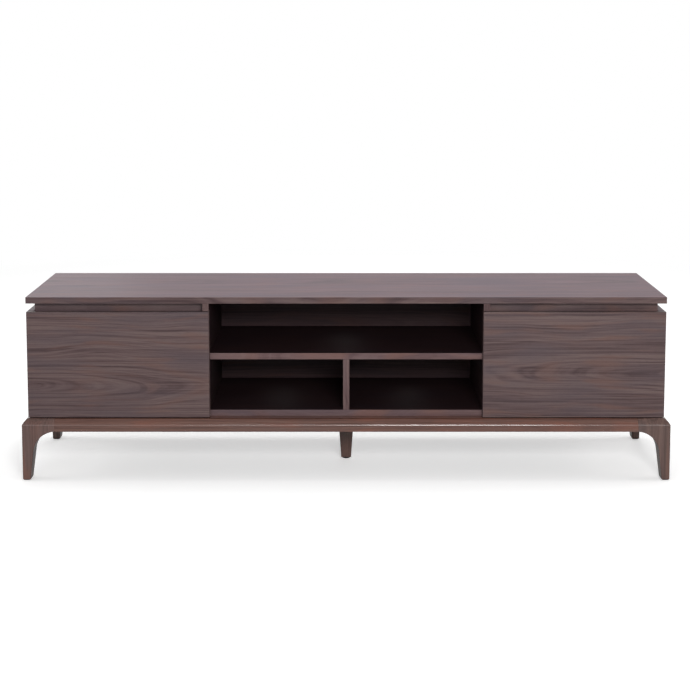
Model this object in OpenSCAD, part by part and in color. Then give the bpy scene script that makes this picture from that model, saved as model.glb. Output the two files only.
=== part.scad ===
// Low media cabinet: two side-hung doors, an open centre bay with a shelf, a top that floats on a
// recessed neck, and a solid wood base frame on sculpted corner legs. Front faces -Y, +Z is up.

/* [Cabinet] */
// Width of the top panel
top_w = 1800; // [1600:10:2100]
// Depth of the top panel
top_d = 400; // [360:5:480]
// Thickness of the veneered boards
board = 18; // [16:1:20]
// Height from the base frame to the top surface
body_h = 346; // [330:2:420]
// Clear width of the open centre bay
bay_w = 772; // [640:4:900]
// Clear height of the two lower bays
lower_bay_h = 146; // [125:1:160]
// Set-back of the side panels from the ends of the top
side_inset = 1; // [0.5:0.5:4]

/* [Doors] */
// Thickness of a door
door_t = 18; // [16:1:20]
// Gap between a closed door and the carcass edges
door_gap = 3; // [3:0.5:4.5]
// Gap between a door and the base frame
door_lift = 2; // [1:0.5:4]
// Finger gap between the door tops and the top panel
finger_gap = 24; // [20:1:32]
// Chamfer on the upright edges of a door
door_chamfer = 1; // [0.8:0.1:1.5]

/* [Neck] */
// Set-back of the neck face behind the door fronts
neck_setback = 30; // [27:1:40]
// How far the neck runs down behind the door tops
neck_lap = 18; // [14:1:24]

/* [Back] */
// Thickness of the back panel
back_t = 5; // [3:0.5:8]
// Set-in of the back panel from the rear edge of the top
back_inset = 7; // [4:1:15]
// Radius of a cable hole
cable_r = 30; // [20:1:34]
// Ceiling of a bay to the middle of its cable hole
cable_drop = 42; // [36:1:60]

/* [Inner shelves] */
// Underside of an inner shelf above its compartment floor
inner_shelf_up = 116; // [90:1:140]
// Set-back of an inner shelf from the carcass front
inner_shelf_back = 24; // [10:1:60]
// Distance between adjusting holes
pin_pitch = 32; // [25:1:40]
// Depth of the holes for the shelf pins
pin_depth = 8; // [6:0.5:11]

/* [Base frame] */
// How far the base stands out beyond the top
base_out = 15; // [8:1:20]
// Height of the rails
rail_h = 36; // [32:1:46]
// Width of the rails
rail_w = 60; // [54:1:70]
// Height of the sloped outer edge
slope_h = 17; // [10:1:20]
// How far the slope bulges
slope_crown = 1.5; // [0.5:0.5:2]
// Radius of the lower arris of the slope
arris_r = 6; // [2:0.5:7]
// Width of the centre stretcher
stretcher_w = 60; // [54:1:90]

/* [Legs] */
// Floor to the underside of the rails
leg_clear = 141; // [120:1:180]
// Width of a foot, seen from the front
foot_w = 22; // [20:1:30]
// Depth of a foot, seen from the side
foot_d = 36; // [24:1:40]
// Outward lean of the inner leg faces for each unit of height
leg_taper = 0.11; // [0.04:0.01:0.14]
// Length of a leg's front wing at the rail
wing = 91; // [85:1:110]
// Radius of the cove between leg and wing
cove_r = 64; // [50:1:66]
// Chamfer round the foot
foot_chamfer = 3; // [1:0.5:4]
// Width of the centre leg at the stretcher
centre_leg_top = 48; // [40:1:52]
// Width of the centre leg at its foot
centre_leg_foot = 29; // [26:1:38]
// Floor to the wood of the centre leg
centre_leg_up = 3; // [2:0.5:6]
// Floor to the wood of a corner leg
glide_show = 1; // [0.5:0.5:3]

/* [Hinges] */
// Diameter of the hinge cup
cup_d = 35; // [34:0.5:36]
// Depth of the cup in the door
cup_depth = 12; // [11.5:0.1:12.5]
// Wood left between a door's outer edge and the cup
cup_tab = 3.5; // [3:0.1:4]
// Door's end edge to the middle of a hinge
hinge_inset = 71; // [60:1:95]
// Diameter of the hinge pin
pin_d = 2.5; // [2:0.1:2.6]
// Thickness of the hinge arm
arm_t = 2; // [1.6:0.1:2.2]

/* [Fixings] */
// Radius of a carcass dowel
dowel_r = 4; // [3:0.5:4.5]
// Length of a carcass dowel
dowel_len = 30; // [25:1:34]
// Depth of a carcass dowel in the face of a board
dowel_seat = 10; // [8:0.5:12]
// Radius of a base frame dowel
frame_dowel_r = 5; // [4:0.5:6]
// Length of a base frame dowel
frame_dowel_len = 50; // [40:2:56]
// Radial clearance round dowels, screws and other fixed fittings
fit = 0.05; // [0.03:0.01:0.1]
// Radial running clearance of the hinge pin
running = 0.05; // [0.03:0.01:0.08]

/* [Hidden] */
$fn = 64;

// Depths, from front to back
front_y = -top_d / 2;
rear_y = top_d / 2;
carcass_y = front_y + door_t + door_gap;
neck_y = front_y + neck_setback;
back_y = rear_y - back_inset - back_t;
base_d = top_d + 2 * base_out;

// Widths, from the middle out
bay_x = bay_w / 2;
part_x = bay_x + board;
part_mid = bay_x + board / 2;
side_x = top_w / 2 - side_inset;
side_in = side_x - board;
neck_in = side_in - board;
base_w = top_w + 2 * base_out;

// Heights, from the floor up
base_top = leg_clear + rail_h;
floor_z = base_top + board;
shelf_z = floor_z + lower_bay_h;
top_z = base_top + body_h - board;
door_z = base_top + door_lift;
door_top = top_z - finger_gap;
neck_z = door_top - neck_lap;
sub_top_z = neck_z - board;
notch_z = door_top + door_lift;
inner_shelf_z = floor_z + inner_shelf_up;
rail_mid = leg_clear + rail_h / 2;

// Dowel rows along the depth of the carcass
dowel_inset = 50;
row_ys = [carcass_y + dowel_inset, (carcass_y + back_y) / 2, back_y - dowel_inset];
// Neck dowels stand clear of those rows
neck_shift = 30;
neck_ys = [row_ys[0] + neck_shift, row_ys[2] - 2 * neck_shift];
neck_dowel_in = 70;
neck_mid_y = neck_y + board / 2;

walnut = "#6d564f";
walnut_light = "#84685c";
leg_brown = "#6a544c";
dark_inside = "#4b3d39";
birch = "#c9ab80";
steel = "#b8bcc0";
black = "#2c2c2e";

// A board from its lowest corner to its highest
module slab(low, high) {
    translate(low) cube(high - low);
}

// A round bar of length h from point p along the direction d
module bar(p, d, h, r) {
    translate(p) rotate([0, acos(d.z), atan2(d.y, d.x)]) cylinder(h = h, r = r);
}

// ---- Carcass dowels: [point on the joint face, direction into the board that is held by its edge]

function rows(x, z, d) = [for (y = row_ys) [[x, y, z], d]];

side_floor_dowels = [for (s = [-1, 1]) each rows(s * side_in, base_top + board / 2, [-s, 0, 0])];
side_sub_top_dowels = [for (s = [-1, 1]) each rows(s * side_in, sub_top_z + board / 2, [-s, 0, 0])];
part_sub_top_dowels = [for (s = [-1, 1]) each rows(s * part_x, sub_top_z + board / 2, [s, 0, 0])];
part_shelf_dowels = [for (s = [-1, 1]) each rows(s * bay_x, shelf_z + board / 2, [-s, 0, 0])];
part_floor_dowels = [for (s = [-1, 1]) each rows(s * part_mid, floor_z, [0, 0, 1])];
part_top_dowels = [for (s = [-1, 1]) each rows(s * part_mid, top_z, [0, 0, -1])];
divider_floor_dowels = rows(0, floor_z, [0, 0, 1]);
divider_shelf_dowels = rows(0, shelf_z, [0, 0, -1]);
neck_top_dowels = [for (s = [-1, 1]) each concat(
    [for (x = [part_x + neck_dowel_in, side_in - neck_dowel_in]) [[s * x, neck_mid_y, top_z], [0, 0, -1]]],
    [for (y = neck_ys) [[s * (side_in - board / 2), y, top_z], [0, 0, -1]]])];
neck_foot_dowels = [for (s = [-1, 1]) each concat(
    [for (x = [part_x + 2 * neck_dowel_in, side_in - 2 * neck_dowel_in])
        [[s * x, neck_mid_y, neck_z], [0, 0, 1]]],
    [for (y = neck_ys) [[s * (side_in - board / 2), y + neck_shift, neck_z], [0, 0, 1]]])];

module dowels(list, grow = 0) {
    for (spot = list)
        bar(spot[0] - dowel_seat * spot[1], spot[1], dowel_len, dowel_r + grow);
}

module carcass_dowels() {
    color(birch) {
        dowels(side_floor_dowels);
        dowels(side_sub_top_dowels);
        dowels(part_sub_top_dowels);
        dowels(part_shelf_dowels);
        dowels(part_floor_dowels);
        dowels(part_top_dowels);
        dowels(divider_floor_dowels);
        dowels(divider_shelf_dowels);
        dowels(neck_top_dowels);
        dowels(neck_foot_dowels);
    }
}

// ---- Screws: a pan head with a cross recess on a plain shank, the head's seat at the origin

module screw(r, length, head_r, head_h) {
    recess = [head_r * 1.1, head_r * 0.28, head_h];
    difference() {
        union() {
            cylinder(h = head_h, r = head_r);
            translate([0, 0, -length]) cylinder(h = length + head_h / 2, r = r);
        }
        for (a = [0, 90])
            rotate(a) translate([0, 0, head_h]) cube(recess, center = true);
    }
}

// ---- Back panel and its screws

back_screw_r = 1.5;
back_screw_len = 18;
back_screw_head = [3.5, 1.4];
sub_top_run = side_in - part_x;
back_screw_spots = concat(
    [for (s = [-1, 1], z = [floor_z + 25, (shelf_z + floor_z) / 2, top_z - 22]) [s * part_mid, z]],
    [for (x = [-0.65, -0.3, 0.3, 0.65]) [x * bay_x, shelf_z + board / 2]],
    [for (z = [floor_z + 35, shelf_z - 35]) [0, z]],
    [for (s = [-1, 1], f = [0.25, 0.75]) [s * (part_x + f * sub_top_run), sub_top_z + board / 2]],
    [for (s = [-1, 1]) [s * (side_in - board / 2), top_z - 22]]);

module back_screw_shanks() {
    for (spot = back_screw_spots)
        bar([spot.x, back_y + back_t, spot.y], [0, -1, 0], back_screw_len, back_screw_r + fit);
}

module back_screws() {
    color(steel)
        for (spot = back_screw_spots)
            translate([spot.x, back_y + back_t, spot.y]) rotate([-90, 0, 0])
                screw(back_screw_r, back_screw_len, back_screw_head[0], back_screw_head[1]);
}

cable_spots = concat([[0, top_z - cable_drop]], [for (s = [-1, 1]) [s * bay_x / 2, shelf_z - cable_drop]]);
back_play = 0.5;

module back_panel() {
    color(dark_inside) difference() {
        slab([-side_in + back_play, back_y, floor_z],
             [side_in - back_play, back_y + back_t, top_z - back_play]);
        for (spot = cable_spots)
            bar([spot.x, back_y - 1, spot.y], [0, 1, 0], back_t + 2, cable_r);
        back_screw_shanks();
    }
}

// ---- Shelf supports: a peg in the board and an angle that carries the shelf

support_peg_r = 2.5;
support_w = 9;
support_reach = 11;
support_t = 1.5;
support_h = 12;
support_ys = [carcass_y + 69, back_y - 48];
pin_levels = [-2, -1, 0, 1, 2];
peg_down = 6;

// All adjusting holes of the boards at x, which face the direction s
module pin_holes(x, s) {
    for (y = support_ys, level = pin_levels)
        bar([x, y, inner_shelf_z - peg_down + level * pin_pitch], [-s, 0, 0], pin_depth, support_peg_r + fit);
}

// A support on a board face at x; the shelf lies towards s
module shelf_support(x, y, s) {
    bar([x, y, inner_shelf_z - peg_down], [-s, 0, 0], pin_depth, support_peg_r);
    translate([x, y, inner_shelf_z]) facing(s) {
        translate([0, -support_w / 2, -support_h]) cube([support_t, support_w, support_h]);
        translate([0, -support_w / 2, -support_t]) cube([support_reach, support_w, support_t]);
    }
}

// The shape itself for s = 1, its mirror image for s = -1
module facing(s) {
    if (s > 0) children();
    else mirror([1, 0, 0]) children();
}

module shelf_supports() {
    color(steel)
        for (side = [-1, 1], y = support_ys) {
            shelf_support(side * part_x, y, side);
            shelf_support(side * side_in, y, -side);
        }
}

inner_shelf_play = 1;
shelf_back_play = 3;

// Everything from here to the doors is drawn for the left side (-X) and mirrored for the right
module inner_shelf() {
    color(walnut)
        slab([-side_in + inner_shelf_play, carcass_y + inner_shelf_back, inner_shelf_z],
             [-part_x - inner_shelf_play, back_y - shelf_back_play, inner_shelf_z + board]);
}

// ---- Carcass boards

module top_panel() {
    color(walnut) difference() {
        slab([-top_w / 2, front_y, top_z], [top_w / 2, rear_y, top_z + board]);
        dowels(part_top_dowels, fit);
        dowels(neck_top_dowels, fit);
    }
}

module bottom_panel() {
    color(walnut) difference() {
        slab([-side_in, carcass_y, base_top], [side_in, rear_y, floor_z]);
        dowels(side_floor_dowels, fit);
        dowels(part_floor_dowels, fit);
        dowels(divider_floor_dowels, fit);
        frame_screw_shanks();
    }
}

module side_panel() {
    color(walnut) difference() {
        slab([-side_x, carcass_y, base_top], [-side_in, rear_y, door_top]);
        dowels(side_floor_dowels, fit);
        dowels(side_sub_top_dowels, fit);
        pin_holes(-side_in, 1);
        hinge_spots() plate_screw_shanks();
    }
}

// The partition's front is notched below the finger gap, where the door closes in front of it
module partition() {
    color(walnut) difference() {
        slab([-part_x, front_y, floor_z], [-bay_x, back_y, top_z]);
        slab([-part_x - 1, front_y - 1, floor_z - 1], [-bay_x + 1, carcass_y, notch_z]);
        dowels(part_floor_dowels, fit);
        dowels(part_top_dowels, fit);
        dowels(part_shelf_dowels, fit);
        dowels(part_sub_top_dowels, fit);
        pin_holes(-part_x, -1);
        back_screw_shanks();
    }
}

module centre_shelf() {
    color(walnut) difference() {
        slab([-bay_x, carcass_y, shelf_z], [bay_x, back_y, shelf_z + board]);
        dowels(part_shelf_dowels, fit);
        dowels(divider_shelf_dowels, fit);
        back_screw_shanks();
    }
}

module centre_divider() {
    color(walnut) difference() {
        slab([-board / 2, carcass_y, floor_z], [board / 2, back_y, shelf_z]);
        dowels(divider_floor_dowels, fit);
        dowels(divider_shelf_dowels, fit);
        back_screw_shanks();
    }
}

module sub_top() {
    color(walnut) difference() {
        slab([-side_in, neck_y, sub_top_z], [-part_x, back_y, neck_z]);
        dowels(side_sub_top_dowels, fit);
        dowels(part_sub_top_dowels, fit);
        dowels(neck_foot_dowels, fit);
        back_screw_shanks();
    }
}

module neck_front() {
    color(dark_inside) difference() {
        slab([-side_in, neck_y, neck_z], [-part_x, neck_y + board, top_z]);
        dowels(neck_top_dowels, fit);
        dowels(neck_foot_dowels, fit);
    }
}

module neck_side() {
    color(dark_inside) difference() {
        slab([-side_in, neck_y + board, neck_z], [-neck_in, back_y, top_z]);
        dowels(neck_top_dowels, fit);
        dowels(neck_foot_dowels, fit);
        back_screw_shanks();
    }
}

// ---- Base frame

// The slope is a shallow arc, and a smaller arc turns it into the upright face
edge_steps = 4;
crown_r = (pow(norm([base_out, slope_h]) / 2, 2) + pow(slope_crown, 2)) / (2 * slope_crown);
crown_in = (crown_r - slope_crown) / norm([base_out, slope_h]);
crown_middle = [base_out / 2 + crown_in * slope_h, base_top - slope_h / 2 - crown_in * base_out];
arris_x = arris_r - crown_middle.x;
arris_rise = sqrt(pow(crown_r - arris_r, 2) - pow(arris_x, 2));
arris_middle = [arris_r, crown_middle.y + arris_rise];
arris_turn = atan2(arris_rise, arris_x);
crown_turn = atan2(base_top - crown_middle.y, base_out - crown_middle.x);

// Points of an arc from one angle to another, after its first
function arc(middle, r, from, to) = [for (i = [1:edge_steps])
    let (a = from + (to - from) * i / edge_steps) middle + r * [cos(a), sin(a)]];

// Points of the sloped edge, from the top face down
sloped_edge = concat(
    [[base_out, base_top]],
    arc(crown_middle, crown_r, crown_turn, arris_turn),
    arc(arris_middle, arris_r, arris_turn, 180));

// Section of a rail: x from its outer face inwards
module rail_section() {
    polygon(concat([[0, leg_clear], [rail_w, leg_clear], [rail_w, base_top]], sloped_edge));
}

// A rail along X, its outer face towards -Y
module rail(from, to) {
    translate([from, -base_d / 2, 0]) rotate([90, 0, 90]) linear_extrude(to - from) rail_section();
}

wing_x = base_w / 2 - wing;
wing_side = wing + foot_d - foot_w;
wing_y = base_d / 2 - wing_side;

module front_rail() {
    color(leg_brown) difference() {
        rail(-wing_x, wing_x);
        frame_dowel_bars(fit);
    }
}

module rear_rail() {
    color(leg_brown) difference() {
        mirror([0, 1, 0]) rail(-wing_x, wing_x);
        frame_dowel_bars(fit);
    }
}

module side_rail() {
    color(leg_brown) difference() {
        translate([-base_w / 2, wing_y, 0]) rotate([90, 0, 0]) linear_extrude(2 * wing_y) rail_section();
        frame_dowel_bars(fit);
    }
}

stretcher_y = base_d / 2 - rail_w;

module centre_stretcher() {
    color(leg_brown) difference() {
        slab([-stretcher_w / 2, -stretcher_y, leg_clear], [stretcher_w / 2, stretcher_y, base_top]);
        frame_dowel_bars(fit);
        centre_bolt(fit);
        for (s = [-1, 1])
            bar([0, s * stretcher_screw_y, leg_clear - 1], [0, 0, 1], stretcher_sink + 1, screw_sink_r);
        frame_screw_shanks();
    }
}

// Frame dowels, two to a joint: [point on the joint face, direction]
frame_dowel_offs = [rail_w * 0.4, rail_w * 0.74];
frame_dowel_list = concat(
    [for (s = [-1, 1], t = [-1, 1], o = frame_dowel_offs)
        [[s * wing_x, t * (base_d / 2 - o), rail_mid], [s, 0, 0]]],
    [for (s = [-1, 1], t = [-1, 1], o = frame_dowel_offs)
        [[s * (base_w / 2 - o), t * wing_y, rail_mid], [0, t, 0]]],
    [for (s = [-1, 1], t = [-1, 1])
        [[s * stretcher_w / 4, t * stretcher_y, rail_mid], [0, t, 0]]]);

module frame_dowel_bars(grow = 0) {
    for (spot = frame_dowel_list)
        bar(spot[0] - frame_dowel_len / 2 * spot[1], spot[1], frame_dowel_len, frame_dowel_r + grow);
}

module frame_dowels() {
    color(birch) frame_dowel_bars();
}

// Corner blocks brace the frame and carry the screws into the cabinet
block_leg = 52;
block_up = 4;
block_screw = block_leg * 0.28;

module corner_blocks() {
    color(birch) difference() {
        for (s = [-1, 1], t = [-1, 1])
            translate([s * (base_w / 2 - rail_w), t * (base_d / 2 - rail_w), leg_clear + block_up])
                linear_extrude(rail_h - block_up)
                    polygon([[0, 0], [-s * block_leg, 0], [0, -t * block_leg]]);
        frame_screw_shanks();
    }
}

frame_screw_r = 2.25;
frame_screw_head = [4.5, 3];
frame_screw_bite = 13;
screw_sink_r = 5.5;
stretcher_sink = 18;
stretcher_screw_y = 90;
block_screw_x = base_w / 2 - rail_w - block_screw;
block_screw_y = base_d / 2 - rail_w - block_screw;
// [x, y, height of the head's seat]
frame_screw_spots = concat(
    [for (s = [-1, 1], t = [-1, 1]) [s * block_screw_x, t * block_screw_y, leg_clear + block_up]],
    [for (t = [-1, 1]) [0, t * stretcher_screw_y, leg_clear + stretcher_sink]]);

function frame_screw_len(spot) = base_top + frame_screw_bite - spot.z;

module frame_screw_shanks() {
    for (spot = frame_screw_spots)
        bar(spot, [0, 0, 1], frame_screw_len(spot), frame_screw_r + fit);
}

module frame_screws() {
    color(steel)
        for (spot = frame_screw_spots)
            translate(spot) rotate([180, 0, 0])
                screw(frame_screw_r, frame_screw_len(spot), frame_screw_head[0], frame_screw_head[1]);
}

// ---- Legs

// Middle of the cove that blends a leg face, foot wide at the floor, into its wing
function cove_middle(foot) = let (z = leg_clear - cove_r + cove_rise)
    [foot + leg_taper * z + (cove_r - cove_rise) * sqrt(1 + pow(leg_taper, 2)), z];
// The cove crosses the lines that it blends at a shallow angle, this far past touching them
cove_rise = 0.1;

// Where the leg face meets the cove
function cove_start(foot) = let (c = cove_middle(foot), n = sqrt(1 + pow(leg_taper, 2)))
    c + (cove_r - cove_rise) / n * [-1, leg_taper];

// Outline of a corner leg seen square to one of its outer faces, which is the line x = 0
module leg_outline(foot, span) {
    middle = cove_middle(foot);
    inner = min(middle.x, span);
    difference() {
        polygon([
            [foot_chamfer, glide_show],
            [foot - foot_chamfer, glide_show],
            [foot + leg_taper * foot_chamfer, glide_show + foot_chamfer],
            cove_start(foot),
            [inner, middle.y],
            [inner, leg_clear],
            [0, leg_clear],
            [0, glide_show + foot_chamfer]
        ]);
        translate(middle) circle(cove_r, $fn = 180);
    }
    polygon(concat([[0, leg_clear], [span, leg_clear], [span, base_top]], sloped_edge));
}

// A corner leg: outer corner at the origin, wings along +X and +Y
module corner_leg() {
    difference() {
        intersection() {
            translate([0, wing_side, 0]) rotate([90, 0, 0])
                linear_extrude(wing_side) leg_outline(foot_w, wing);
            rotate([90, 0, 90])
                linear_extrude(wing) leg_outline(foot_d, wing_side);
        }
        translate([rail_w, rail_w, 0]) cube([wing, wing_side, base_top + 1]);
    }
}

module placed_leg(s, t) {
    color(leg_brown) difference() {
        translate([s * base_w / 2, t * base_d / 2, 0])
            mirror([s > 0 ? 1 : 0, 0, 0]) mirror([0, t > 0 ? 1 : 0, 0]) corner_leg();
        frame_dowel_bars(fit);
        glide_spigot(s, t, fit);
    }
}

// Nail-in glides under the corner legs
glide_r = 7;
glide_spigot_r = 3;
glide_spigot_len = 12;

function glide_spot(s, t) = [s * (base_w / 2 - foot_w / 2), t * (base_d / 2 - foot_d / 2), 0];

module glide_spigot(s, t, grow = 0) {
    bar(glide_spot(s, t), [0, 0, 1], glide_show + glide_spigot_len, glide_spigot_r + grow);
}

module foot_glides() {
    color(black)
        for (s = [-1, 1], t = [-1, 1]) {
            bar(glide_spot(s, t), [0, 0, 1], glide_show, glide_r);
            glide_spigot(s, t);
        }
}

// Centre leg: tapered on all four faces
module centre_leg_face() {
    wide = centre_leg_top / 2;
    slim = centre_leg_foot / 2;
    grow = (wide - slim) / (leg_clear - centre_leg_up);
    low = slim + grow * foot_chamfer;
    polygon([
        [-wide, leg_clear], [-low, centre_leg_up + foot_chamfer], [-slim + foot_chamfer, centre_leg_up],
        [slim - foot_chamfer, centre_leg_up], [low, centre_leg_up + foot_chamfer], [wide, leg_clear]
    ]);
}

module centre_leg() {
    color(leg_brown) difference() {
        intersection() {
            translate([0, centre_leg_top / 2, 0]) rotate([90, 0, 0])
                linear_extrude(centre_leg_top) centre_leg_face();
            translate([-centre_leg_top / 2, 0, 0]) rotate([90, 0, 90])
                linear_extrude(centre_leg_top) centre_leg_face();
        }
        centre_bolt(fit);
        levelling_stem(fit);
    }
}

// Hanger bolt between centre leg and stretcher
centre_bolt_r = 4;
centre_bolt_half = 30;

module centre_bolt(grow = 0) {
    bar([0, 0, leg_clear - centre_bolt_half], [0, 0, 1], 2 * centre_bolt_half, centre_bolt_r + grow);
}

module centre_leg_bolt() {
    color(steel) centre_bolt();
}

// Levelling foot: a pad on a stem that screws up into the centre leg
level_pad_r = 10;
level_stem_r = 4;
level_stem_len = 28;

module levelling_stem(grow = 0) {
    bar([0, 0, centre_leg_up / 2], [0, 0, 1], level_stem_len, level_stem_r + grow);
}

module levelling_foot() {
    color(black) {
        bar([0, 0, 0], [0, 0, 1], centre_leg_up, level_pad_r);
        levelling_stem();
    }
}

// ---- Doors and hinges, drawn for the left door

hinge_zs = [door_z + hinge_inset, door_top - hinge_inset];

// Local frame of a hinge: x inwards from the door's outer edge, y into the cabinet from the
// carcass front, z up from the middle of the hinge
module hinge_spots() {
    for (z = hinge_zs)
        translate([-side_x, carcass_y, z]) children();
}

cup_x = cup_tab + cup_d / 2;
cup_wall = 1;
flange_t = 1;
pin_x = 8;
pin_in = 8.5;
pin_y = -door_gap - pin_in;
pin_half = 9.6;
arm_half = 5.5;
cheek_gap = 0.3;
eye_r = 2.2;

module hinge_pins() {
    color(steel) hinge_spots()
        translate([pin_x, pin_y, -pin_half]) cylinder(h = 2 * pin_half, r = pin_d / 2);
}

cup_screw_x = cup_x + 6;
cup_screw_z = 24;
cup_screw_r = 1.75;
cup_screw_len = 11;
cup_screw_head = [3.6, 1.6];
lobe_r = 7;

module cup_screw_spots() {
    for (s = [-1, 1])
        translate([cup_screw_x, -door_gap + flange_t, s * cup_screw_z]) rotate([-90, 0, 0]) children();
}

module cup_screw_shanks() {
    cup_screw_spots() translate([0, 0, -cup_screw_len]) cylinder(h = cup_screw_len, r = cup_screw_r + fit);
}

module cup_screws() {
    color(steel) hinge_spots() cup_screw_spots()
        screw(cup_screw_r, cup_screw_len, cup_screw_head[0], cup_screw_head[1]);
}

// A disc of the cup, from depth y0 to y1 in the hinge frame
module cup_disc(y0, y1, r) {
    bar([cup_x, y1, 0], [0, -1, 0], y1 - y0, r);
}

module hinge_cup() {
    mouth = -door_gap;
    bottom = mouth - cup_depth;
    difference() {
        union() {
            difference() {
                union() {
                    cup_disc(bottom, mouth, cup_d / 2 - fit);
                    cup_disc(mouth, mouth + flange_t, cup_d / 2 + 1);
                    translate([cup_screw_x - lobe_r, mouth, -cup_screw_z])
                        cube([2 * lobe_r, flange_t, 2 * cup_screw_z]);
                    for (s = [-1, 1])
                        bar([cup_screw_x, mouth, s * cup_screw_z], [0, 1, 0], flange_t, lobe_r);
                }
                cup_disc(bottom + cup_wall, mouth + flange_t + 1, cup_d / 2 - cup_wall);
            }
            // Cheeks that hold the pin
            intersection() {
                cup_disc(bottom + cup_wall / 2, mouth - 1, cup_d / 2 - cup_wall / 2);
                for (s = [-1, 1])
                    translate([pin_x - 3, bottom, s > 0 ? arm_half + cheek_gap : -cup_d / 2])
                        cube([6, cup_depth, cup_d / 2 - arm_half - cheek_gap]);
            }
        }
        translate([pin_x, pin_y, -pin_half]) cylinder(h = 2 * pin_half, r = pin_d / 2 + fit / 2);
        cup_screw_shanks();
    }
}

module hinge_cups() {
    color(steel) hinge_spots() hinge_cup();
}

plate_t = 3;
plate_half = 8;
plate_y = [18, 60];
plate_screw_y = 37;
plate_screw_z = 16;
plate_wing = [6, 23];
plate_screw_r = 2;
plate_screw_head = [3.5, 1.8];
plate_screw_bite = 11;
arm_strip_x = board + 6;
arm_end_y = 58;
arm_flange_y = 14;
arm_flange_t = 1.5;
arm_screw_ys = [25, 47];
arm_screw_r = 2;
arm_screw_head = [3.5, 1.8];
arm_screw_len = arm_t + arm_strip_x - board - 0.5;

module plate_screw_spots() {
    for (s = [-1, 1])
        translate([board + plate_t, plate_screw_y, s * plate_screw_z]) rotate([0, 90, 0]) children();
}

module plate_screw_shanks() {
    plate_screw_spots() translate([0, 0, -plate_t - plate_screw_bite])
        cylinder(h = plate_t + plate_screw_bite, r = plate_screw_r + fit);
}

module arm_screw_spots() {
    for (y = arm_screw_ys)
        translate([arm_strip_x + arm_t, y, 0]) rotate([0, 90, 0]) children();
}

module arm_screw_shanks() {
    arm_screw_spots() translate([0, 0, -arm_screw_len]) cylinder(h = arm_screw_len, r = arm_screw_r + fit);
}

module hinge_plate() {
    difference() {
        union() {
            slab([board, plate_y[0], -plate_half], [board + plate_t, plate_y[1], plate_half]);
            slab([board, plate_screw_y - plate_wing[0], -plate_wing[1]],
                 [board + plate_t, plate_screw_y + plate_wing[0], plate_wing[1]]);
        }
        plate_screw_shanks();
        arm_screw_shanks();
    }
}

// The arm is a channel on the plate, with a nose that dips into the cup and ends in the pin's eye
module hinge_arm() {
    difference() {
        union() {
            slab([arm_strip_x, pin_y - arm_t / 2, -arm_half], [arm_strip_x + arm_t, arm_end_y, arm_half]);
            slab([pin_x, pin_y - arm_t / 2, -arm_half], [arm_strip_x + arm_t, pin_y + arm_t / 2, arm_half]);
            translate([pin_x, pin_y, -arm_half]) cylinder(h = 2 * arm_half, r = eye_r);
            for (s = [-1, 1])
                slab([board + plate_t, arm_flange_y, s > 0 ? arm_half : -arm_half - arm_flange_t],
                     [arm_strip_x + arm_t, arm_end_y, s > 0 ? arm_half + arm_flange_t : -arm_half]);
        }
        translate([pin_x, pin_y, -arm_half - 1]) cylinder(h = 2 * arm_half + 2, r = pin_d / 2 + running);
        arm_screw_shanks();
    }
}

module hinge_plates() {
    color(steel) hinge_spots() hinge_plate();
}

module hinge_arms() {
    color(steel) hinge_spots() hinge_arm();
}

module hinge_plate_screws() {
    color(steel) for (s = [-1, 1]) facing(-s) hinge_spots() plate_screw_spots()
        screw(plate_screw_r, plate_t + plate_screw_bite, plate_screw_head[0], plate_screw_head[1]);
}

module hinge_arm_screws() {
    color(steel) for (s = [-1, 1]) facing(-s) hinge_spots() arm_screw_spots()
        screw(arm_screw_r, arm_screw_len, arm_screw_head[0], arm_screw_head[1]);
}

module door_panel() {
    w = side_x - bay_x;
    c = door_chamfer;
    t = door_t;
    color(walnut) difference() {
        translate([-side_x, front_y, door_z]) linear_extrude(door_top - door_z)
            polygon([[c, 0], [w - c, 0], [w, c], [w, t - c], [w - c, t], [c, t], [0, t - c], [0, c]]);
        hinge_spots() {
            cup_disc(-door_gap - cup_depth, -door_gap + 1, cup_d / 2);
            cup_screw_shanks();
        }
    }
}

// Soft stops between the doors and the partitions
bumper_r = 4;
bumper_play = 0.3;
bumper_in = 40;

module door_bumpers() {
    color(black)
        for (s = [-1, 1], z = [door_z + bumper_in, door_top - bumper_in])
            bar([s * part_mid, carcass_y, z], [0, -1, 0], door_gap - bumper_play, bumper_r);
}

module right() {
    mirror([1, 0, 0]) children();
}

top_panel();
bottom_panel();
side_panel();  // side_panel_left
right() side_panel();  // side_panel_right
partition();  // partition_left
right() partition();  // partition_right
centre_shelf();
centre_divider();
sub_top();  // sub_top_left
right() sub_top();  // sub_top_right
neck_front();  // neck_front_left
right() neck_front();  // neck_front_right
neck_side();  // neck_side_left
right() neck_side();  // neck_side_right
back_panel();
back_screws();
inner_shelf();  // inner_shelf_left
right() inner_shelf();  // inner_shelf_right
shelf_supports();
carcass_dowels();
door_bumpers();
front_rail();
rear_rail();
side_rail();  // side_rail_left
right() side_rail();  // side_rail_right
centre_stretcher();
centre_leg();
centre_leg_bolt();
levelling_foot();
placed_leg(-1, -1);  // front_leg_left
placed_leg(1, -1);  // front_leg_right
placed_leg(-1, 1);  // rear_leg_left
placed_leg(1, 1);  // rear_leg_right
foot_glides();
corner_blocks();
frame_dowels();
frame_screws();
door_panel();  // door_panel_left
right() door_panel();  // door_panel_right
hinge_cups();  // hinge_cups_left
right() hinge_cups();  // hinge_cups_right
hinge_pins();  // hinge_pins_left
right() hinge_pins();  // hinge_pins_right
cup_screws();  // cup_screws_left
right() cup_screws();  // cup_screws_right
hinge_arms();  // hinge_arms_left
right() hinge_arms();  // hinge_arms_right
hinge_plates();  // hinge_plates_left
right() hinge_plates();  // hinge_plates_right
hinge_plate_screws();
hinge_arm_screws();
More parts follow.
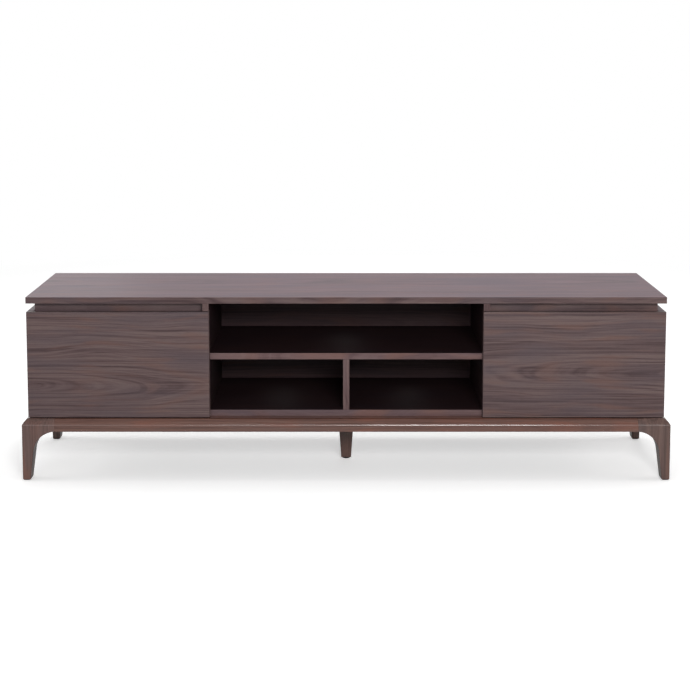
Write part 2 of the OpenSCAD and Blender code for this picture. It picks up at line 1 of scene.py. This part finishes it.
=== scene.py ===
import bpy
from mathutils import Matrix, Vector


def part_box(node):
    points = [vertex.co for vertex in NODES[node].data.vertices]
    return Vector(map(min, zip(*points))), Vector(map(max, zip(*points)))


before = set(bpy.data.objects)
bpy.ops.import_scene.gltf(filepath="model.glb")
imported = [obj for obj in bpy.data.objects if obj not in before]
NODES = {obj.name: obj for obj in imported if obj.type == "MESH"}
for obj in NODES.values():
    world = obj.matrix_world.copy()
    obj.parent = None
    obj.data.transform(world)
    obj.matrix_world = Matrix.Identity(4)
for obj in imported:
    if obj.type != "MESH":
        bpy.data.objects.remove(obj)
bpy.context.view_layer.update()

import math

import bmesh
import bpy
from mathutils import Vector

# Low walnut cabinet, seen from straight ahead and a little above. Metres, +Z up, front faces -Y.
AXES = "XYZ"

# Camera: how many degrees it looks down, and its lens and the width of its film in mm
CAMERA_PLACE = (-0.0044, -3.927, 1.237)
CAMERA_TILT = 5.6
LENS = 70.33
FILM = 36.0
SHIFT = (0.00053, -0.2484)
VIEW_END = 100.0

# Finish: colours in sRGB, 0 to 255
WALNUT = {
    "dark": (66, 50, 51),
    "middle": (86, 68, 68),
    "light": (98, 81, 79),
    "red": (100, 73, 66),
    "grey": (76, 65, 70),
}
BASE_WALNUT = {
    "dark": (77, 50, 42),
    "middle": (96, 64, 55),
    "light": (107, 77, 67),
    "red": (120, 72, 56),
    "grey": (87, 65, 61),
}
LEG_WALNUT = {
    "dark": (74, 54, 49),
    "middle": (91, 68, 62),
    "light": (101, 78, 71),
    "red": (112, 75, 62),
    "grey": (80, 66, 65),
}
BEECH = {"dark": (196, 160, 118), "light": (222, 192, 152), "fleck": (168, 128, 88)}
NICKEL = {"dark": (176, 176, 178), "light": (214, 213, 210)}
RUBBER = {"dark": (196, 196, 192), "light": (222, 222, 216)}
NYLON = {"dark": (20, 19, 19), "light": (34, 33, 32)}

# Tints: what red, green and blue are multiplied by on some faces of the walnut. Most are painted
# light and shade: painted sheen on faces that look up, painted shade inside the cabinet, and
# painted light on front edges and on the recessed neck.
PLAIN = (1.0, 1.0, 1.0)
# Painted sheen: faces that look up are lighter and more violet, for the glancing reflection of
# the bright room
PAINTED_TOP_SHEEN = (1.27, 1.12, 1.40)
# Painted shade: faces inside the cabinet are darkened nearly to black, for the shade that falls
# there
PAINTED_INSIDE_SHADE = (0.19, 0.15, 0.17)
# Painted shade: the back panel's face inside the bays is darkened, for the shade deep in the
# bays
PAINTED_BACK_SHADE = (0.46, 0.38, 0.42)
BACK_OUTSIDE = (0.75, 0.75, 0.75)
# Painted light: the front edges of the bottom panel and the centre shelf are lightened, for
# light they catch
EDGE = (1.40, 1.40, 1.40)
# Painted light: the centre divider's front edge is lightened, for light it catches
PAINTED_DIVIDER_LIGHT = (1.24, 1.24, 1.24)
# Painted light: the recessed neck strips are lightened against the shade under the top's
# overhang
PAINTED_NECK_LIGHT = (1.15, 1.13, 1.12)
RUSSET_LEG = (1.16, 1.06, 1.03)
# A face looks along an axis if that part of its normal is greater than this
FACING = 0.7

# Walnut's pattern: how often each part of it changes in a metre along the grain, across the
# grain and through the board
WANDER = (1.9, 6.0, 6.0)
RIPPLE = (6.0, 30.0, 30.0)
FIBRES = (3.0, 300.0, 300.0)
CLOUDS = (3.0, 16.0, 16.0)
PORES = (45.0, 1500.0, 1500.0)
# The same, along the grain and outwards from the centre of the growth rings
BROAD_RINGS = (1.0, 48.0, 1.0)
NARROW_RINGS = (2.2, 190.0, 1.0)
RED_STREAKS = (7.0, 60.0, 1.0)
RING_ROUGHNESS = 0.6
# The share of each in the tone, which is from 0 to 1, the tone of the middle colour, and how far
# from it the wood is at its darkest and its lightest
BROAD_SHARE = 0.22
NARROW_SHARE = 0.42
FIBRE_SHARE = 0.36
MIDDLE_TONE = 0.49
TONE_REACH = 0.11
# How far the rings wander and ripple sideways
WANDER_WIDTH = 0.050
RIPPLE_WIDTH = 0.006
# How far apart two boards are cut from the pattern
SEED_STEP = (0.73, 0.31, 0.173)
# Lacquer on the base
COAT_ROUGHNESS = 0.16
COAT_IOR = 1.85

# Rounded edges: how wide they are
BOARD_EASE = 0.0007
RAIL_EASE = 0.0010
LEG_EASE = 0.0016
# Points as close as this are one point, and faces that bend by less than this are one plane
SAME_POINT = 0.00001
SAME_PLANE = math.radians(0.3)
# An edge is rounded if it is longer than the facets round drilled holes, and bends outwards by
# more than a chamfer's 45 degrees. Of the others, those that bend by more than SHARP_BEND stay
# sharp corners.
ROUNDED_LENGTH = 0.00135
ROUNDED_BEND = math.radians(45.5)
SHARP_BEND = math.radians(30)

# Floor: its radius, where it starts and ends turning plain white, its greys, and what it adds
# to its own colour for the camera
FLOOR_RADIUS = 30.0
FADE_START = 2.0
FADE_END = 4.0
FLOOR_DARK = (0.80, 0.80, 0.80, 1)
FLOOR_LIGHT = (0.84, 0.84, 0.84, 1)
FLOOR_MIRRORED = (0.36, 0.36, 0.36, 1)
FLOOR_GLOW = 0.40

# World: its strength as a light, and in reflections that of its walls and its ceiling. The walls
# start and end turning into ceiling at these heights, as shares of straight up.
WHITE = (1, 1, 1, 1)
ROOM_LIGHT = 0.32
WALLS = 1.0
CEILING = 0.25
CEILING_START = 0.45
CEILING_END = 0.75


def linear(colour):
    """sRGB values from 0 to 255 as the linear RGBA that a socket takes."""
    def channel(value):
        share = value / 255
        return share / 12.92 if share <= 0.04045 else ((share + 0.055) / 1.055) ** 2.4
    return (*(channel(value) for value in colour), 1.0)


class Graph:
    """The node tree of a new material or world, and short calls that add to it."""

    def __init__(self, owner):
        owner.use_nodes = True
        self.owner = owner
        self.tree = owner.node_tree
        self.tree.nodes.clear()

    def add(self, kind, inputs=None, **settings):
        """A new node, with its settings, and its inputs as values or as other nodes' sockets."""
        node = self.tree.nodes.new(kind)
        for name, value in settings.items():
            setattr(node, name, value)
        for name, value in (inputs or {}).items():
            self.feed(node.inputs[name], value)
        return node

    def feed(self, socket, value):
        """Sets an input to a value, or links another node's socket to it."""
        if isinstance(value, bpy.types.NodeSocket):
            self.tree.links.new(value, socket)
        else:
            socket.default_value = value

    def math(self, operation, first, second=0.0, third=0.0):
        inputs = {0: first, 1: second, 2: third}
        return self.add("ShaderNodeMath", inputs, operation=operation).outputs[0]

    def vector(self, operation, first, second=(0, 0, 0)):
        inputs = {0: first, 1: second}
        return self.add("ShaderNodeVectorMath", inputs, operation=operation).outputs[0]

    def length(self, vector):
        return self.add("ShaderNodeVectorMath", {0: vector}, operation="LENGTH").outputs[1]

    def distance(self, first, second):
        inputs = {0: first, 1: second}
        return self.add("ShaderNodeVectorMath", inputs, operation="DISTANCE").outputs[1]

    def combine(self, x, y, z):
        return self.add("ShaderNodeCombineXYZ", {0: x, 1: y, 2: z}).outputs[0]

    def separate(self, vector):
        return self.add("ShaderNodeSeparateXYZ", {0: vector}).outputs

    def coordinates(self):
        return self.add("ShaderNodeTexCoord").outputs

    def noise(self, place, scale, detail=2.0, roughness=0.5):
        inputs = {"Vector": place, "Scale": scale, "Detail": detail, "Roughness": roughness}
        return self.add("ShaderNodeTexNoise", inputs).outputs["Fac"]

    def stretched_noise(self, place, changes, detail=2.0, roughness=0.5):
        """Noise with so many changes in a metre along each coordinate."""
        return self.noise(self.vector("MULTIPLY", place, changes), 1.0, detail, roughness)

    def remap(self, value, low, high, to_low=0.0, to_high=1.0):
        """Turns low to high into to_low to to_high, and stays within them."""
        inputs = {"Value": value, "From Min": low, "From Max": high,
                  "To Min": to_low, "To Max": to_high}
        return self.add("ShaderNodeMapRange", inputs, clamp=True).outputs["Result"]

    def blend(self, factor, first, second, mode="MIX"):
        """A colour: first where factor is 0, and blended with second where it is 1."""
        node = self.add("ShaderNodeMix", {"Factor": factor}, data_type="RGBA", blend_type=mode)
        self.feed(node.inputs[6], first)
        self.feed(node.inputs[7], second)
        return node.outputs[2]

    def switch(self, factor, first, second):
        """A vector: first where factor is 0, second where it is 1."""
        node = self.add("ShaderNodeMix", {"Factor": factor}, data_type="VECTOR")
        self.feed(node.inputs[4], first)
        self.feed(node.inputs[5], second)
        return node.outputs[1]

    def glow(self, strength):
        """A surface that shines evenly white."""
        inputs = {"Color": WHITE, "Strength": strength}
        return self.add("ShaderNodeEmission", inputs).outputs[0]

    def surface(self, inputs, height, depth, strength):
        """Finishes the material as a Principled surface, with a bump from height."""
        shader = self.add("ShaderNodeBsdfPrincipled", inputs)
        bump_inputs = {"Strength": strength, "Distance": depth, "Height": height}
        bump = self.add("ShaderNodeBump", bump_inputs)
        self.feed(shader.inputs["Normal"], bump.outputs["Normal"])
        self.add("ShaderNodeOutputMaterial", {"Surface": shader.outputs[0]})
        return self.owner


class EdgeGraph(Graph):
    """A new geometry node group, with the same short calls."""

    def __init__(self, name):
        self.tree = bpy.data.node_groups.new(name, "GeometryNodeTree")
        for way in ("INPUT", "OUTPUT"):
            self.tree.interface.new_socket("Geometry", in_out=way,
                                           socket_type="NodeSocketGeometry")


def new_material(name):
    return Graph(bpy.data.materials.new(name))


def grain_place(graph, grain, banded, middle):
    """Coordinates from the board's middle: along the grain, across it and through the board.
    With them comes the normal.

    grain names those three axes in turn. On a banded board's two ends the grain turns, because
    the band that covers the end has its grain along the edge."""
    coordinates = graph.coordinates()
    place = graph.separate(graph.vector("SUBTRACT", coordinates["Object"], middle))
    along, across, through = (place[AXES.index(axis)] for axis in grain)
    straight = graph.combine(along, across, through)
    if banded:
        turned = graph.combine(across, along, through)
        facing = graph.separate(coordinates["Normal"])[AXES.index(grain[0])]
        at_end = graph.math("GREATER_THAN", graph.math("ABSOLUTE", facing), FACING)
        straight = graph.switch(at_end, straight, turned)
    return straight, coordinates["Normal"]


def ring_place(graph, place, sample, shift, heart, lean, waves):
    """Coordinates along the grain and outwards from the centre of the growth rings."""
    wander = graph.remap(graph.stretched_noise(sample, WANDER), 0.25, 0.75, -0.5, 0.5)
    ripple = graph.remap(graph.stretched_noise(sample, RIPPLE), 0.25, 0.75, -0.5, 0.5)
    run, side, depth = graph.separate(place)[:3]
    side = graph.math("SUBTRACT", side, heart[1])
    side = graph.math("MULTIPLY_ADD", wander, WANDER_WIDTH * waves, side)
    depth = graph.math("ADD", depth, graph.math("MULTIPLY_ADD", run, lean, heart[0]))
    rings = graph.length(graph.combine(side, depth, 0.0))
    rings = graph.math("MULTIPLY_ADD", ripple, RIPPLE_WIDTH * waves, rings)
    return graph.vector("ADD", graph.combine(run, rings, 0.0), shift)


def walnut_colour(graph, tones, tone, contrast, clouds, warmth, pores):
    """The wood's own colour: dark to light by tone, greyer in the clouds, redder in the warm
    streaks and darker in the pores."""
    reach = TONE_REACH / contrast
    dark_to_middle = graph.remap(tone, MIDDLE_TONE - reach, MIDDLE_TONE)
    middle_to_light = graph.remap(tone, MIDDLE_TONE, MIDDLE_TONE + reach)
    colour = graph.blend(dark_to_middle, linear(tones["dark"]), linear(tones["middle"]))
    colour = graph.blend(middle_to_light, colour, linear(tones["light"]))
    greyed = graph.remap(clouds, 0.48, 0.70, 0.0, 0.60)
    colour = graph.blend(greyed, colour, linear(tones["grey"]))
    warmed = graph.remap(warmth, 0.53, 0.74, 0.0, 0.55)
    colour = graph.blend(warmed, colour, linear(tones["red"]))
    shaded = graph.math("MULTIPLY_ADD", pores, -0.22, 1.0)
    return graph.blend(1.0, colour, graph.combine(shaded, shaded, shaded), "MULTIPLY")


def face_tint(graph, normal, front, above, rest):
    """The tint of a face, by the way it looks; the tints given carry painted sheen, light and
    shade.
    """
    facing = graph.separate(normal)
    tint = (*rest, 1)
    if above:
        looks_up = graph.math("GREATER_THAN", facing[2], FACING)
        tint = graph.blend(looks_up, tint, (*above, 1))
    looks_forward = graph.math("LESS_THAN", facing[1], -FACING)
    return graph.blend(looks_forward, tint, (*front, 1))


def walnut(node, tones, grain, banded=True, heart=(0.035, 0.0), lean=0.06, seed=0,
           front=PLAIN, above=None, rest=PLAIN, roughness=0.42, level=0.3, coat=0.0,
           waves=1.0, contrast=1.0, bump=0.35):
    """Walnut whose growth rings are cut at a slant, with streaks, pores and a satin lacquer.

    heart is how far the rings' centre lies behind the board and off its middle line, lean how
    fast the rings rise along the board, and waves how far they wander. front is the tint of the
    faces that look forward, above of those that look up where it differs, and rest of the
    others. These tints are where painted sheen, painted light and painted shade go on."""
    graph = new_material("walnut_" + node)
    low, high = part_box(node)
    place, normal = grain_place(graph, grain, banded, (low + high) / 2)
    shift = tuple(seed * step for step in SEED_STEP)
    sample = graph.vector("ADD", place, shift)
    flow = ring_place(graph, place, sample, shift, heart, lean, waves)

    broad = graph.stretched_noise(flow, BROAD_RINGS, 2.0, RING_ROUGHNESS)
    narrow = graph.stretched_noise(flow, NARROW_RINGS, 3.0, RING_ROUGHNESS)
    warmth = graph.stretched_noise(flow, RED_STREAKS, 1.0, RING_ROUGHNESS)
    fibres = graph.stretched_noise(sample, FIBRES)
    clouds = graph.stretched_noise(sample, CLOUDS)
    pores = graph.remap(graph.stretched_noise(sample, PORES, 1.0), 0.60, 0.68)

    tone = graph.math("MULTIPLY", narrow, NARROW_SHARE)
    tone = graph.math("MULTIPLY_ADD", broad, BROAD_SHARE, tone)
    tone = graph.math("MULTIPLY_ADD", fibres, FIBRE_SHARE, tone)
    colour = walnut_colour(graph, tones, tone, contrast, clouds, warmth, pores)
    tint = face_tint(graph, normal, front, above, rest)
    colour = graph.blend(1.0, colour, tint, "MULTIPLY")

    rough = graph.math("MULTIPLY_ADD", narrow, 0.10, roughness - 0.05)
    relief = graph.math("MULTIPLY_ADD", pores, -1.0, graph.math("MULTIPLY", narrow, 0.4))
    inputs = {"Base Color": colour, "Roughness": rough, "Specular IOR Level": level,
              "Coat Weight": coat, "Coat Roughness": COAT_ROUGHNESS, "Coat IOR": COAT_IOR}
    return graph.surface(inputs, relief, depth=0.00012, strength=bump)


def beech():
    """Pale wood, for dowels and corner blocks."""
    graph = new_material("beech")
    place, _ = grain_place(graph, "XYZ", False, (0, 0, 0))
    fibres = graph.stretched_noise(place, (30.0, 400.0, 400.0), 3.0, 0.6)
    flecks = graph.stretched_noise(place, (220.0, 900.0, 900.0), 1.0)
    colour = graph.blend(fibres, linear(BEECH["dark"]), linear(BEECH["light"]))
    flecked = graph.remap(flecks, 0.6, 0.7, 0.0, 0.5)
    colour = graph.blend(flecked, colour, linear(BEECH["fleck"]))
    rough = graph.remap(fibres, 0.0, 1.0, 0.55, 0.7)
    inputs = {"Base Color": colour, "Roughness": rough, "Specular IOR Level": 0.3}
    return graph.surface(inputs, fibres, depth=0.0001, strength=0.3)


def nickel():
    """Bright nickel on stamped steel, faintly cloudy."""
    graph = new_material("nickel")
    place = graph.coordinates()["Object"]
    cloud = graph.noise(place, 160.0, 3.0, 0.6)
    scratch = graph.stretched_noise(place, (300.0, 300.0, 4000.0))
    colour = graph.blend(cloud, linear(NICKEL["dark"]), linear(NICKEL["light"]))
    rough = graph.math("MULTIPLY_ADD", cloud, 0.16, 0.20)
    inputs = {"Base Color": colour, "Roughness": rough, "Metallic": 1.0}
    return graph.surface(inputs, scratch, depth=0.00002, strength=0.25)


def moulded(name, tones, changes):
    """Moulded plastic or rubber, with so many changes in a metre in its fine matt grain."""
    graph = new_material(name)
    speckle = graph.noise(graph.coordinates()["Object"], changes, 3.0, 0.6)
    colour = graph.blend(speckle, linear(tones["dark"]), linear(tones["light"]))
    rough = graph.math("MULTIPLY_ADD", speckle, 0.15, 0.45)
    inputs = {"Base Color": colour, "Roughness": rough, "Specular IOR Level": 0.4}
    return graph.surface(inputs, speckle, depth=0.00005, strength=0.3)


def dress(node, material):
    """Gives a CAD node its finish."""
    data = NODES[node].data
    for index in range(len(data.materials)):
        data.materials[index] = material
    if not data.materials:
        data.materials.append(material)


def mark_edges():
    """A node group that marks the edges to round and keeps the other corners sharp."""
    graph = EdgeGraph("mark_edges")
    ends = graph.add("GeometryNodeInputMeshEdgeVertices").outputs
    length = graph.distance(ends["Position 1"], ends["Position 2"])
    angle = graph.add("GeometryNodeInputMeshEdgeAngle").outputs
    long = graph.math("GREATER_THAN", length, ROUNDED_LENGTH)
    steep = graph.math("GREATER_THAN", angle["Signed Angle"], ROUNDED_BEND)
    rounded = graph.math("MULTIPLY", long, steep)
    bent = graph.math("GREATER_THAN", angle["Unsigned Angle"], SHARP_BEND)
    smooth = graph.add("GeometryNodeSetShadeSmooth",
                       {"Geometry": graph.add("NodeGroupInput").outputs[0]})
    sharp = graph.add("GeometryNodeSetShadeSmooth", {
        "Geometry": smooth.outputs[0],
        "Selection": graph.math("SUBTRACT", bent, rounded),
        "Shade Smooth": False,
    }, domain="EDGE")
    marked = graph.add("GeometryNodeStoreNamedAttribute", {
        "Geometry": sharp.outputs[0],
        "Name": "bevel_weight_edge",
        "Value": rounded,
    }, data_type="FLOAT", domain="EDGE")
    graph.add("NodeGroupOutput", {0: marked.outputs[0]})
    return graph.tree


def ease(node, marking, width, segments):
    """Rounds a CAD node's edges, which the real piece has sanded, where marking marks them."""
    def change(name, kind, **settings):
        modifier = NODES[node].modifiers.new(name, kind)
        for setting, value in settings.items():
            setattr(modifier, setting, value)

    change("weld", "WELD", merge_threshold=SAME_POINT)
    change("planes", "DECIMATE", decimate_type="DISSOLVE", angle_limit=SAME_PLANE)
    change("marks", "NODES", node_group=marking)
    change("ease", "BEVEL", width=width, segments=segments, limit_method="WEIGHT",
           use_clamp_overlap=False, miter_outer="MITER_ARC")
    change("normals", "WEIGHTED_NORMAL", keep_sharp=True, weight=100, thresh=0.01)


def finish_boards(marking):
    """Veneer on the boards and doors; matt with painted shade inside, painted light and sheen
    elsewhere.
    """
    flat, upright, sideways = "XYZ", "XZY", "YZX"
    board = dict(tones=WALNUT)
    # Boards inside the cabinet carry painted shade on all faces but the front
    inner = dict(board, rest=PAINTED_INSIDE_SHADE, roughness=0.60, level=0.10)
    # The shelves' front edges carry painted light
    shelf = dict(inner, grain=flat, front=EDGE, lean=0.02, contrast=0.7)
    # The side panels' top ledges carry the top's painted sheen
    side = dict(board, grain=sideways, above=PAINTED_TOP_SHEEN)
    # The neck strips carry painted light
    neck = dict(board, front=PAINTED_NECK_LIGHT, rest=PAINTED_NECK_LIGHT)
    door = dict(board, grain=upright, waves=0.7)
    boards = {
        # The top's upper face carries a painted sheen
        "top_panel": dict(board, grain=flat, above=PAINTED_TOP_SHEEN, heart=(0.09, 0.05), lean=0.03,
                          level=0.22, contrast=1.4),
        "bottom_panel": shelf,
        "side_panel_left": side,
        "side_panel_right": side,
        "partition_left": dict(inner, grain=sideways),
        "partition_right": dict(inner, grain=sideways),
        "centre_shelf": shelf,
        # The divider's front edge carries painted light, its other faces painted shade
        "centre_divider": dict(inner, grain="ZYX", banded=False, front=PAINTED_DIVIDER_LIGHT),
        "sub_top_left": dict(inner, grain=flat),
        "sub_top_right": dict(inner, grain=flat),
        "neck_front_left": dict(neck, grain=upright),
        "neck_front_right": dict(neck, grain=upright),
        "neck_side_left": dict(neck, grain=sideways),
        "neck_side_right": dict(neck, grain=sideways),
        "inner_shelf_left": dict(inner, grain=flat),
        "inner_shelf_right": dict(inner, grain=flat),
        # The back panel's face inside the bays carries painted shade
        "back_panel": dict(board, grain=upright, banded=False, front=PAINTED_BACK_SHADE,
                           rest=BACK_OUTSIDE, roughness=0.55, level=0.2),
        "door_panel_left": dict(door, heart=(0.035, -0.060), lean=0.09, contrast=1.4),
        "door_panel_right": dict(door, heart=(0.040, -0.020), lean=-0.07, contrast=1.5),
    }
    for seed, (node, settings) in enumerate(boards.items(), start=1):
        dress(node, walnut(node, seed=seed, **settings))
        ease(node, marking, BOARD_EASE, segments=2)


def finish_base(marking):
    """Solid walnut under a glossy lacquer, on the frame and the legs."""
    lengthwise, crosswise, upright = "XZY", "YZX", "ZXY"
    sticks = {
        "front_rail": lengthwise,
        "rear_rail": lengthwise,
        "side_rail_left": crosswise,
        "side_rail_right": crosswise,
        "centre_stretcher": crosswise,
        "centre_leg": upright,
        "front_leg_left": upright,
        "front_leg_right": upright,
        "rear_leg_left": upright,
        "rear_leg_right": upright,
    }
    for seed, (node, grain) in enumerate(sticks.items(), start=31):
        is_leg = grain == upright
        material = walnut(node, LEG_WALNUT if is_leg else BASE_WALNUT, grain, banded=False,
                          seed=seed, lean=0.02, roughness=0.24, level=0.05, coat=1.0,
                          waves=0.5, bump=0.0,
                          front=RUSSET_LEG if node == "front_leg_left" else PLAIN)
        dress(node, material)
        ease(node, marking, LEG_EASE if is_leg else RAIL_EASE, segments=3)


def finish_hardware():
    pale_wood = beech()
    plating = nickel()
    rubber = moulded("soft_bumper", RUBBER, 900.0)
    nylon = moulded("nylon", NYLON, 700.0)
    for node in ("carcass_dowels", "frame_dowels", "corner_blocks"):
        dress(node, pale_wood)
    for node in NODES:
        if any(word in node for word in ("screw", "hinge", "bolt", "support")):
            dress(node, plating)
    dress("door_bumpers", rubber)
    dress("foot_glides", nylon)
    dress("levelling_foot", nylon)


def add_object(name, data):
    thing = bpy.data.objects.new(name, data)
    bpy.context.scene.collection.objects.link(thing)
    return thing


def floor_material():
    """Pale grey, plain white far away for the camera and in reflections."""
    graph = new_material("pale_floor")
    rays = graph.add("ShaderNodeLightPath").outputs
    camera, glossy = rays["Is Camera Ray"], rays["Is Glossy Ray"]
    place = graph.coordinates()["Object"]
    colour = graph.blend(graph.noise(place, 3.0), FLOOR_DARK, FLOOR_LIGHT)
    colour = graph.blend(glossy, colour, FLOOR_MIRRORED)
    diffuse = graph.add("ShaderNodeBsdfDiffuse", {"Color": colour}).outputs[0]
    added = graph.glow(graph.math("MULTIPLY", camera, FLOOR_GLOW))
    near = graph.add("ShaderNodeAddShader", {0: diffuse, 1: added}).outputs[0]
    faded = graph.remap(graph.length(place), FADE_START, FADE_END)
    faded = graph.math("MULTIPLY", faded, graph.math("MAXIMUM", camera, glossy))
    mixed = graph.add("ShaderNodeMixShader", {0: faded, 1: near, 2: graph.glow(1.0)})
    graph.add("ShaderNodeOutputMaterial", {"Surface": mixed.outputs[0]})
    return graph.owner


def add_floor():
    """A round floor that keeps the cabinet's shadow."""
    mesh = bpy.data.meshes.new("floor")
    form = bmesh.new()
    bmesh.ops.create_circle(form, cap_ends=True, radius=FLOOR_RADIUS, segments=96)
    form.to_mesh(mesh)
    form.free()
    mesh.materials.append(floor_material())
    floor = add_object("floor", mesh)


def add_world():
    """Even white light, plain white for the camera, and a dim ceiling over it in reflections."""
    graph = Graph(bpy.data.worlds.new("studio"))
    rays = graph.add("ShaderNodeLightPath").outputs
    height = graph.separate(graph.coordinates()["Generated"])[2]
    mirrored = graph.remap(height, CEILING_START, CEILING_END, WALLS, CEILING)
    strength = graph.remap(rays["Is Glossy Ray"], 0.0, 1.0, ROOM_LIGHT, mirrored)
    plain = graph.math("MAXIMUM", rays["Is Camera Ray"], rays["Is Transmission Ray"])
    strength = graph.remap(plain, 0.0, 1.0, strength, 1.0)
    background = graph.add("ShaderNodeBackground", {"Color": WHITE, "Strength": strength})
    graph.add("ShaderNodeOutputWorld", {"Surface": background.outputs[0]})
    bpy.context.scene.world = graph.owner


def add_softbox(name, place, target, size, watts, mirrored=False):
    """A soft rectangular lamp; mirrored says whether glossy surfaces show it."""
    lamp = bpy.data.lights.new(name, "AREA")
    lamp.shape = "RECTANGLE"
    lamp.size, lamp.size_y = size
    lamp.energy = watts
    softbox = add_object(name, lamp)
    softbox.location = place
    away = Vector(target) - Vector(place)
    softbox.rotation_euler = away.to_track_quat("-Z", "Y").to_euler()
    softbox.visible_camera = False
    softbox.visible_glossy = mirrored


def add_lamps():
    """Soft light from all round. The base's lacquer shows the key lamp as a bright line."""
    add_softbox("key", (0.65, -3.9, 1.85), (0, 0, 0.25), (1.1, 0.8), 93, mirrored=True)
    add_softbox("fill", (-1.6, -3.6, 2.0), (0, 0, 0.3), (2.4, 1.2), 16)
    add_softbox("overhead", (0, 0.3, 2.9), (0, 0, 0.5), (2.6, 1.4), 28)
    add_softbox("back_left", (-2.2, 2.8, 1.3), (-0.6, 0, 0.5), (2.4, 1.4), 6, mirrored=True)
    add_softbox("behind", (0.4, 3.6, 1.8), (0, 0, 0.3), (2.4, 1.2), 40)
    add_softbox("left", (-3.6, 0, 1.6), (0, 0, 0.3), (2.0, 1.2), 22)
    add_softbox("right", (3.6, 0, 1.6), (0, 0, 0.3), (2.0, 1.2), 22)


def add_camera():
    lens = bpy.data.cameras.new("camera")
    lens.lens = LENS
    lens.sensor_width = FILM
    lens.shift_x, lens.shift_y = SHIFT
    lens.clip_end = VIEW_END
    camera = add_object("camera", lens)
    camera.location = CAMERA_PLACE
    camera.rotation_euler = (math.radians(90 - CAMERA_TILT), 0, 0)
    bpy.context.scene.camera = camera


add_camera()
add_world()
add_floor()
add_lamps()
edge_marking = mark_edges()
finish_boards(edge_marking)
finish_base(edge_marking)
finish_hardware()
bpy.context.scene.view_settings.view_transform = "Standard"
